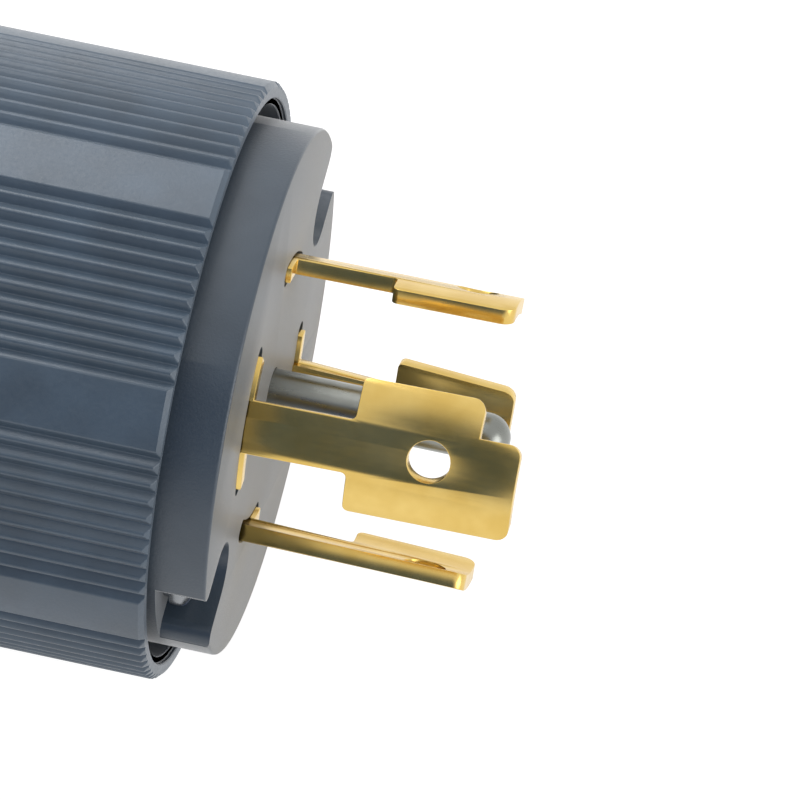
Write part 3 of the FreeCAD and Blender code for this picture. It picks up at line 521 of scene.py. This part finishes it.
def bend_lines(piece, half_turn, with_ends):
    """Cut a flat piece along the lines at which it bends, with the outermost ones too if asked."""
    for step in range(int(2 * half_turn / BEND_STEP) + 1):
        turn = BEND_STEP * step - half_turn
        if with_ends or abs(turn) < half_turn:
            cut_line(piece, across=turn * PER_DEGREE)


def stamped_blade(name, half_turn, stem, neck_half, lug_half, length, hole_turn, notch=None):
    """Blade stamped from strip: a lug, neck and shoulder in the plug, a stem, and a wide foot."""
    half, neck, lug, hole_y = [turn * PER_DEGREE
                               for turn in (half_turn, neck_half, lug_half, hole_turn)]
    low, high = [turn * PER_DEGREE for turn in stem]
    blade = put(begin(bpy.ops.mesh.primitive_plane_add, name, size=1),
                place=((length + LUG_BACK) / 2, 0, BLADE_INNER),
                stretch=(length - LUG_BACK, 2 * half, 1))
    for along in (CARRIER_BACK, SHOULDER_BACK, SHOULDER_FRONT, FOOT_BACK):
        cut_line(blade, along=along)
    for across in (low, high, -neck, neck, -lug, lug):
        cut_line(blade, across=across)
    cuts = [lambda middle: SHOULDER_FRONT < middle.x < FOOT_BACK and not low < middle.y < high,
            lambda middle: CARRIER_BACK < middle.x < SHOULDER_BACK and abs(middle.y) > neck,
            lambda middle: middle.x < CARRIER_BACK and abs(middle.y) > lug]
    if notch:
        notch_x, notch_y = notch[0], notch[1] * PER_DEGREE
        cut_line(blade, along=notch_x)
        cut_line(blade, across=notch_y)
        cuts.append(lambda middle: middle.x > notch_x and middle.y < notch_y)
    choose(blade, "FACE", lambda middle, normal: any(cut(middle) for cut in cuts))
    bpy.ops.mesh.delete(type="FACE")
    bpy.ops.object.mode_set(mode="OBJECT")
    choose(blade, "FACE", lambda middle, normal: True)
    bpy.ops.mesh.dissolve_faces()
    bpy.ops.mesh.select_all(action="SELECT")
    bpy.ops.mesh.dissolve_limited(angle_limit=math.radians(1))
    bpy.ops.object.mode_set(mode="OBJECT")
    bevel_where(blade, "VERT", lambda place: place.x > FOOT_CORNERS and (
        notch is None or abs(place.y - notch_y) > 0.1 or place.x > notch_x + 0.1), FOOT_ROUND, 6)
    bevel_where(blade, "VERT", lambda place: abs(place.x - FOOT_BACK) < 0.1
                and abs(abs(place.y) - half) > 0.1, STEM_ROUND, 4)
    bevel_where(blade, "VERT", lambda place: abs(place.x - FOOT_BACK) < 0.1
                and abs(abs(place.y) - half) < 0.1, HEEL_ROUND, 4)
    choose(blade, "FACE", lambda middle, normal: True)
    bpy.ops.mesh.extrude_region_move(
        TRANSFORM_OT_translate={"value": (0, 0, BLADE_RADIUS - BLADE_INNER)})
    face_out(blade)
    combine(blade, "DIFFERENCE", post("hole", BLADE_HOLE_RADIUS, BLADE_INNER - OVERRUN,
                                      BLADE_RADIUS + OVERRUN, BLADE_HOLE_X, hole_y, sides=64))
    soften(blade, 0.08, 2, 40)
    bend_lines(blade, half_turn, with_ends=False)
    return blade


def add_tail(blade, place):
    """Join the flat tail that lies in the wire chamber, with its threaded hole, to a bent blade."""
    tail = block("tail", (TAIL_BACK, TAIL_INNER, -TAIL_HALF), (TAIL_FRONT, TAIL_RADIUS, TAIL_HALF))
    hole = begin(bpy.ops.mesh.primitive_cylinder_add, "hole", vertices=48, radius=TERMINAL_HOLE,
                 depth=6, location=(TERMINAL_X, TAIL_RADIUS, 0), rotation=(QUARTER, 0, 0))
    combine(tail, "DIFFERENCE", hole)
    return combine(blade, "UNION", put(tail, turn=(place, 0, 0)))


wide = stamped_blade("wide_blade_brass", WIDE_HALF_TURN, stem=(-10.75, 10.75), neck_half=18.0,
                     lug_half=22.0, length=25.4, hole_turn=0.0, notch=(21.4, -12.6))
add_tail(wrap(wide, WIDE_PLACE), WIDE_PLACE)
finish(wide, "plug", "blade_brass", blade_brass, "wide_blade")
narrow = stamped_blade("line_blade", NARROW_HALF_TURN, stem=(-NARROW_HALF_TURN, 4.0),
                       neck_half=12.0, lug_half=16.5, length=21.4, hole_turn=-6.25)
for number, place in enumerate(NARROW_PLACES, start=1):
    blade = add_tail(wrap(copied(narrow, "line_blade_brass_%d" % number), place), place)
    finish(blade, "plug", "blade_brass", blade_brass, "line_blade_%d" % number)
bpy.data.objects.remove(narrow)


# --- Carrier ---------------------------------------------------------------------------------

def blade_slot(place, half_turn):
    """What a blade's slot takes out of the carrier, bent and standing as the blade does."""
    reach = half_turn * PER_DEGREE + SLOT_END_GAP
    slot = block("slot", (SLOT_BACK, -reach, BLADE_INNER - SLOT_GAP),
                 (OVERRUN, reach, BLADE_RADIUS + SLOT_GAP))
    bevel_where(slot, "EDGE", lambda middle, way: abs(way.x) > 0.5, SLOT_ROUND, 8)
    cut_line(slot, along=0.0)
    bend_lines(slot, half_turn, with_ends=True)
    return wrap(slot, place)


def screw_pocket(place):
    """What a screw's pocket takes out: a U open at the edge, round a raised seat and a hole."""
    pocket = block("pocket", (POCKET_FLOOR, SCREW_RING - POCKET_HALF, -POCKET_HALF),
                   (OVERRUN, POCKET_REACH, POCKET_HALF))
    bevel_where(pocket, "EDGE", lambda middle, way: abs(way.x) > 0.5 and middle.y < SCREW_RING,
                POCKET_HALF - 0.01, 16)
    height = POCKET_HALF + POCKET_CORNER
    inset = math.sqrt((FACE_RADIUS - POCKET_CORNER) ** 2 - height ** 2)
    for side in (-1, 1):
        corner = block("corner", (POCKET_FLOOR, inset, min(0, height * side)),
                       (OVERRUN, POCKET_REACH, max(0, height * side)))
        combine(corner, "DIFFERENCE", bar("kept", POCKET_CORNER, -6, 6, inset, height * side))
        combine(pocket, "UNION", corner)
    combine(pocket, "DIFFERENCE", bar("seat", SEAT_RADIUS, SCREW_SEAT - 2, SCREW_SEAT, SCREW_RING))
    combine(pocket, "UNION", bar("hole", SCREW_HOLE, -20, 20, SCREW_RING, sides=32))
    return put(pocket, turn=(place, 0, 0))


carrier = turned("round_carrier", (
    (CARRIER_BACK, CORE_RADIUS), (FLANGE_BACK, CORE_RADIUS), (FLANGE_BACK, FLANGE_RADIUS),
    (FLANGE_FRONT, FLANGE_RADIUS), (FLANGE_FRONT, FACE_RADIUS), (0.0, FACE_RADIUS)), sides=288)
bevel_where(carrier, "EDGE", lambda middle, way: middle.x > -0.1 and abs(way.x) < 0.5,
            FACE_BEVEL, 3)
slots = [blade_slot(WIDE_PLACE, WIDE_HALF_TURN)]
slots += [blade_slot(place, NARROW_HALF_TURN) for place in NARROW_PLACES]
pockets = [screw_pocket(place) for place in SCREW_PLACES]
combine(carrier, "DIFFERENCE", bar("hole", PIN_HOLE, -25, 25), *slots, *pockets)
soften(carrier, 0.1, 2, 40)
finish(carrier, "plug", "carrier_nylon", carrier_nylon, "blade_carrier")

# --- Pin and screws --------------------------------------------------------------------------

dome = [(PIN_STRAIGHT + PIN_RADIUS * math.sin(math.radians(angle)),
         PIN_RADIUS * math.cos(math.radians(angle))) for angle in range(8, 88, 8)]
pin = turned("steel_pin", [(CARRIER_BACK, 3.4), (-4.0, 3.4), (-4.0, 2.0), (-0.4, 2.0),
                           (-0.2, PIN_RADIUS), (PIN_STRAIGHT, PIN_RADIUS)] + dome)
finish(pin, "plug", "pin_steel", pin_steel, "ground_pin")


def slotted_screw(name, head_radius, head_thick, radius, length, pitch=None):
    """Pan-head screw along X: head ahead of x = 0, slot across it, shank behind."""
    rings = [(-length, radius * 0.6), (-length + radius * 0.4, radius)]
    if pitch:
        turns = int((length - 1.0) / pitch)
        rings = [(-length, radius * 0.6)]
        for number in range(turns):
            rings.append((-length + 0.5 + number * pitch, radius - THREAD_DEPTH))
            rings.append((-length + 0.5 + (number + 0.5) * pitch, radius))
        rings.append((-length + 0.5 + turns * pitch, radius - 0.2))
    head = [(head_thick * (0.55 + 0.45 * math.sin(math.radians(angle))),
             head_radius * (0.55 + 0.45 * math.cos(math.radians(angle))))
            for angle in range(0, 91, 15)]
    rings += [(0, rings[-1][1]), (0, head_radius)] + head
    screw = turned(name, rings, sides=64)
    drive = block("drive", (head_thick - DRIVE_DEPTH, -head_radius - OVERRUN, -DRIVE_HALF),
                  (head_thick + OVERRUN, head_radius + OVERRUN, DRIVE_HALF))
    combine(screw, "DIFFERENCE", drive)
    return soften(screw, 0.08, 2, 50)


for number, place in enumerate(SCREW_PLACES, start=1):
    screw = slotted_screw("long_screw_%d" % number, **LONG_SCREW)
    put(screw, place=(SCREW_SEAT, SCREW_RING, 0), turn=(LONG_SCREW_TURN, 0, 0))
    put(screw, turn=(place, 0, 0))
    finish(screw, "plug", "screw_steel", screw_steel, "assembly_screws")
for number, side in ((1, 1), (2, -1)):
    screw = slotted_screw("clamp_screw_steel_%d" % number, **CLAMP_SCREW)
    put(screw, turn=(CLAMP_SCREW_TURN * side, 0, 0))
    put(screw, place=(CLAMP_X, side * CLAMP_Y, EAR_HIGH), turn=(0, -90, 0))
    finish(screw, "clamp_screw_%d" % number, "screw_steel", screw_steel,
           "clamp_screw_%d" % number)


# --- Rear cover, saddle, nuts and seals ------------------------------------------------------

def clamp_jaw(name, low, high, back, front, side):
    """Half ring round the cord with an ear at each side; side is 1 above the cord, -1 below."""
    ring = bar(name, JAW_RADIUS, back, front, sides=160)
    away = block("away", (back - OVERRUN, -BEYOND, -BEYOND if side > 0 else high),
                 (front + OVERRUN, BEYOND, low if side > 0 else BEYOND))
    combine(ring, "DIFFERENCE", away)
    ears = block("ears", (back, -EAR_END, low), (front, EAR_END, high))
    bevel_where(ears, "EDGE", lambda middle, way: abs(way.z) > 0.5, EAR_ROUND, 8)
    return combine(ring, "UNION", ears)


def jaw_holes(piece):
    """Screw holes through both ears."""
    for side in (1, -1):
        combine(piece, "DIFFERENCE", post("hole", CLAMP_HOLE, -20, 20, CLAMP_X, side * CLAMP_Y))


def cord_bore(back, front):
    """Bore for the cord, ringed so that its crests grip the jacket."""
    rings = [(back - OVERRUN, CORD_RADIUS)]
    x = back + GRIP_START
    while x + GRIP[-1][0] < front:
        rings += [(x + along, CORD_RADIUS + deep) for along, deep in GRIP]
        x += GRIP_PITCH
    return turned("bore", rings + [(front + OVERRUN, CORD_RADIUS)], sides=128)


def on_circle(x, inner=0.0):
    """Test for the round edges at one place along the plug that lie outside a radius."""
    return lambda middle, way: (abs(middle.x - x) < 0.1 and abs(way.x) < 0.5
                                and math.hypot(middle.y, middle.z) > inner)


saddle = clamp_jaw("cord_saddle", EAR_LOW, EAR_HIGH, JAW_BACK, SADDLE_FRONT, 1)
combine(saddle, "DIFFERENCE", cord_bore(JAW_BACK, SADDLE_FRONT))
jaw_holes(saddle)
soften(saddle, 0.4, 3, 40)
finish(saddle, "clamp_saddle", "sleeve_nylon", sleeve_nylon, "clamp_saddle")

cover = turned("cone_cover", (
    (SPIGOT_FRONT, COVER_BORE), (SPIGOT_FRONT, CORE_RADIUS), (SLEEVE_BACK, CORE_RADIUS),
    (SLEEVE_BACK, SLEEVE_RADIUS), (COVER_RIM, SLEEVE_RADIUS), (NECK_FRONT, NECK_FRONT_RADIUS),
    (NECK_BACK, NECK_BACK_RADIUS), (NECK_BACK, LIP_RADIUS), (SEAL_SEAT_BACK, LIP_RADIUS),
    (SEAL_SEAT_BACK, SEAL_SEAT_RADIUS), (SEAL_SEAT_FRONT, SEAL_SEAT_RADIUS),
    (COVER_CONE, COVER_BORE)), sides=320, hollow=True)
bevel_where(cover, "EDGE", on_circle(COVER_RIM), COVER_ROUND, 10)
bevel_where(cover, "EDGE", on_circle(SLEEVE_BACK, inner=27), COVER_FRONT_BEVEL, 2)
flatten(cover)
fixed = clamp_jaw("fixed_jaw", -EAR_HIGH, -EAR_LOW, JAW_BACK, NECK_BACK + JAW_ROOT, -1)
combine(fixed, "DIFFERENCE", cord_bore(JAW_BACK, NECK_BACK))
combine(fixed, "DIFFERENCE", bar("throat", LIP_RADIUS, NECK_BACK, NECK_BACK + 4, sides=128))
jaw_holes(fixed)
for side in (1, -1):
    room = post("room", NUT_ROOM, -EAR_HIGH - OVERRUN, NUT_HIGH, CLAMP_X, side * CLAMP_Y, sides=6)
    combine(fixed, "DIFFERENCE", room)
combine(cover, "UNION", fixed)
soften(cover, 0.4, 3, 40)
finish(cover, "plug", "sleeve_nylon", sleeve_nylon, "rear_cover")

for number, side in ((1, 1), (2, -1)):
    spot = (CLAMP_X, side * CLAMP_Y)
    nut = post("clamp_nut_%d" % number, NUT_RADIUS, NUT_LOW, NUT_HIGH, *spot, sides=6)
    barrel = turned("barrel", ((NUT_LOW, NUT_FACE_RADIUS), (NUT_LOW + NUT_CHAMFER, NUT_RADIUS),
                               (NUT_HIGH, NUT_RADIUS)))
    combine(nut, "INTERSECT", put(barrel, turn=(0, -90, 0), place=(*spot, 0)))
    combine(nut, "DIFFERENCE", post("hole", NUT_BORE, -10, 0, *spot))
    soften(nut, 0.12, 2, 40)
    finish(nut, "plug", "screw_steel", screw_steel, "clamp_nuts")

seal = turned("ribbed_seal", (
    (SEAL_SEAT_BACK, 9.8), (SEAL_SEAT_BACK, 12.3), (-63.7, 13.1), (-60.3, 13.1), (-59.5, 12.3),
    (-59.5, 10.3), (-60.0, 9.8), (-60.6, 9.8), (-61.0, 10.3), (-61.4, 9.8), (-62.2, 9.8),
    (-62.6, 10.3), (-63.0, 9.8)), sides=160, hollow=True)
soften(seal, 0.12, 2, 30)
finish(seal, "plug", "seal_rubber", seal_rubber, "cord_grommet")
gasket = turned("flange_seal", (
    (LEDGE, GASKET_INNER), (LEDGE, FLANGE_RADIUS), (FLANGE_BACK, FLANGE_RADIUS),
    (FLANGE_BACK, GASKET_INNER)), sides=240, hollow=True)
soften(gasket, 0.15, 2, 30)
finish(gasket, "plug", "seal_rubber", seal_rubber, "flange_gasket")

# --- Inner pieces that keep their CAD shape --------------------------------------------------

inner = {"terminal_block": block_nylon, "grommet_ring": carrier_nylon, "ground_strap": blade_brass,
         "threaded_inserts": blade_brass}
for number in range(1, 6):
    inner["terminal_clamp_%d" % number] = screw_steel
    inner["terminal_screw_%d" % number] = screw_steel
for name, material in inner.items():
    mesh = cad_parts[name].data
    mesh.materials.clear()
    mesh.materials.append(material)


# --- Floor, light and camera -----------------------------------------------------------------

def seen_or_mirrored(material):
    """1 for the camera's rays and for those that gloss or glass sends on, and otherwise 0."""
    rays = add_node(material, "ShaderNodeLightPath").outputs
    seen = rays["Is Camera Ray"]
    for kind in ("Is Glossy Ray", "Is Transmission Ray"):
        seen = add_node(material, "ShaderNodeMath", {0: seen, 1: rays[kind]},
                        operation="MAXIMUM").outputs[0]
    return seen


floor = begin(bpy.ops.mesh.primitive_plane_add, "floor", size=6, location=(0, 0, FLAT_HEIGHT * MM))
paper = bpy.data.materials.new("white_paper")
paper.use_nodes = True
paper.node_tree.nodes.clear()
matte = add_node(paper, "ShaderNodeBsdfDiffuse", {"Color": linear("#c0c0c0")})
faint = add_node(paper, "ShaderNodeBsdfDiffuse", {"Color": linear("#898989")})
glow = add_node(paper, "ShaderNodeEmission", {"Color": (1, 1, 1, 1), "Strength": 0.95})
lit = add_node(paper, "ShaderNodeAddShader", {0: faint.outputs[0], 1: glow.outputs[0]})
both = add_node(paper, "ShaderNodeMixShader", {0: seen_or_mirrored(paper), 1: matte.outputs[0],
                                               2: lit.outputs[0]})
add_node(paper, "ShaderNodeOutputMaterial", {"Surface": both.outputs[0]})
floor.data.materials.append(paper)

# The studio is white, with the dark room that metal mirrors behind the camera.
DARK_SIDE = (0.0, -0.848, 0.530)
world = bpy.context.scene.world or bpy.data.worlds.new("studio")
bpy.context.scene.world = world
world.use_nodes = True
world.node_tree.nodes.clear()
way = add_node(world, "ShaderNodeTexCoord").outputs["Generated"]
towards = add_node(world, "ShaderNodeVectorMath", {0: way, 1: DARK_SIDE}, operation="DOT_PRODUCT")
dark = add_node(world, "ShaderNodeMapRange", {"Value": towards.outputs["Value"], "From Min": 0.80,
                                              "From Max": 0.95}, interpolation_type="SMOOTHSTEP")
room = two_tone(world, dark.outputs[0], "#ffffff", "#506284", 0.0, 1.0)
mirrored = add_node(world, "ShaderNodeBackground", {"Color": room, "Strength": 1.0})
air = add_node(world, "ShaderNodeBackground", {"Color": (1, 1, 1, 1), "Strength": 0.52})
bright = add_node(world, "ShaderNodeBackground", {"Color": (1, 1, 1, 1), "Strength": 1.0})
rays = add_node(world, "ShaderNodeLightPath").outputs
unseen = add_node(world, "ShaderNodeMixShader", {0: rays["Is Glossy Ray"], 1: air.outputs[0],
                                                 2: mirrored.outputs[0]})
studio = add_node(world, "ShaderNodeMixShader", {0: rays["Is Camera Ray"], 1: unseen.outputs[0],
                                                 2: bright.outputs[0]})
add_node(world, "ShaderNodeOutputWorld", {"Surface": studio.outputs[0]})


def softbox(name, place, size, power, aim=(0, 0, 0)):
    """Square area light aimed at a point of the plug, and out of the camera's sight."""
    only(floor)
    bpy.ops.object.light_add(type="AREA", location=place)
    lamp = bpy.context.object
    lamp.name = name
    lamp.data.shape = "SQUARE"
    lamp.data.size = size
    lamp.data.energy = power
    lamp.visible_camera = False
    lamp.rotation_euler = (Vector(aim) - Vector(place)).to_track_quat("-Z", "Y").to_euler()


softbox("back_light", (-0.15, 0.117, 0.22), 0.22, 0.45, aim=(-0.15, 0, 0))
softbox("side_light", (0.9, -0.35, 0.35), 0.6, 3.0)

# The camera's own axes, and where it stands along each of them
RIGHT = Vector((0.97237, 0.23038, 0.03773))
UP = Vector((-0.20258, 0.75239, 0.62680))
BACK = Vector((0.11600, -0.61712, 0.77828))
STAND = 11.96 * RIGHT - 0.72 * UP + 700 * BACK
bpy.ops.object.camera_add()
camera = bpy.context.object
camera.matrix_world = (Matrix.Translation(STAND * MM)
                       @ Matrix((RIGHT, UP, BACK)).transposed().to_4x4())
camera.data.sensor_fit = "HORIZONTAL"
camera.data.sensor_width = 36
camera.data.lens = 338.7
bpy.context.scene.camera = camera
bpy.context.scene.view_settings.view_transform = "Standard"
